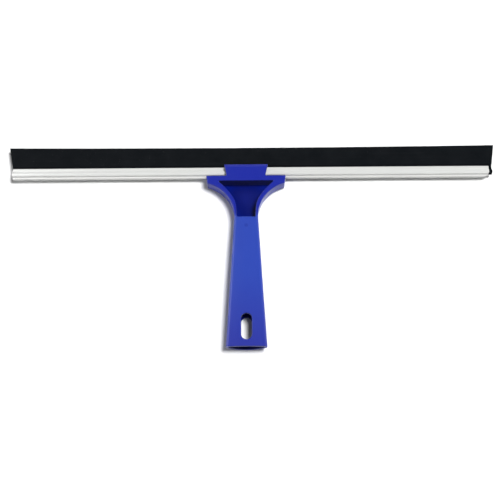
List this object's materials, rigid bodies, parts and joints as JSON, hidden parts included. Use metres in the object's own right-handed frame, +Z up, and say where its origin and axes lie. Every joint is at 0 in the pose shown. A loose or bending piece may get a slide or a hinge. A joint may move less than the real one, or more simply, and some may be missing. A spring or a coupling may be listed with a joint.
{
  "type": "window cleaning squeegee",
  "caption": "Window squeegee: a wide rubber blade in a slim aluminium channel, held by the snap jaw of a T-headed plastic handle with a hollow tapered grip and a hanging slot.",
  "frame": {"origin": "under the middle of the tool's outer box, on the surface that it lies on", "axes": "+X along the blade, +Y from the end of the grip to the wiping edge, +Z up out of the front of the handle, which is the side with the tab and the recess"},
  "size_m": [0.4544, 0.195, 0.018],
  "materials": {
    "handle_plastic": "satin injection-moulded polypropylene",
    "aluminium": "plain extruded, fine lines along its length",
    "rubber": "smooth matt black rubber",
    "spring_steel": "plain spring steel strip"
  },
  "bodies": {
    "handle": {"handle": "handle_plastic"},
    "channel": {"channel": "aluminium"},
    "blade": {"rubber_blade": "rubber", "rubber_clip_left": "spring_steel", "rubber_clip_right": "spring_steel"}
  },
  "joints": [
    {"name": "channel_slide", "type": "slide", "parent": "handle", "child": "channel", "axis": [1, 0, 0], "range_m": [-0.187, 0.178]},
    {"name": "blade_slide", "type": "slide", "parent": "channel", "child": "blade", "axis": [1, 0, 0], "range_m": [-0.39, 0.39]}
  ]
}
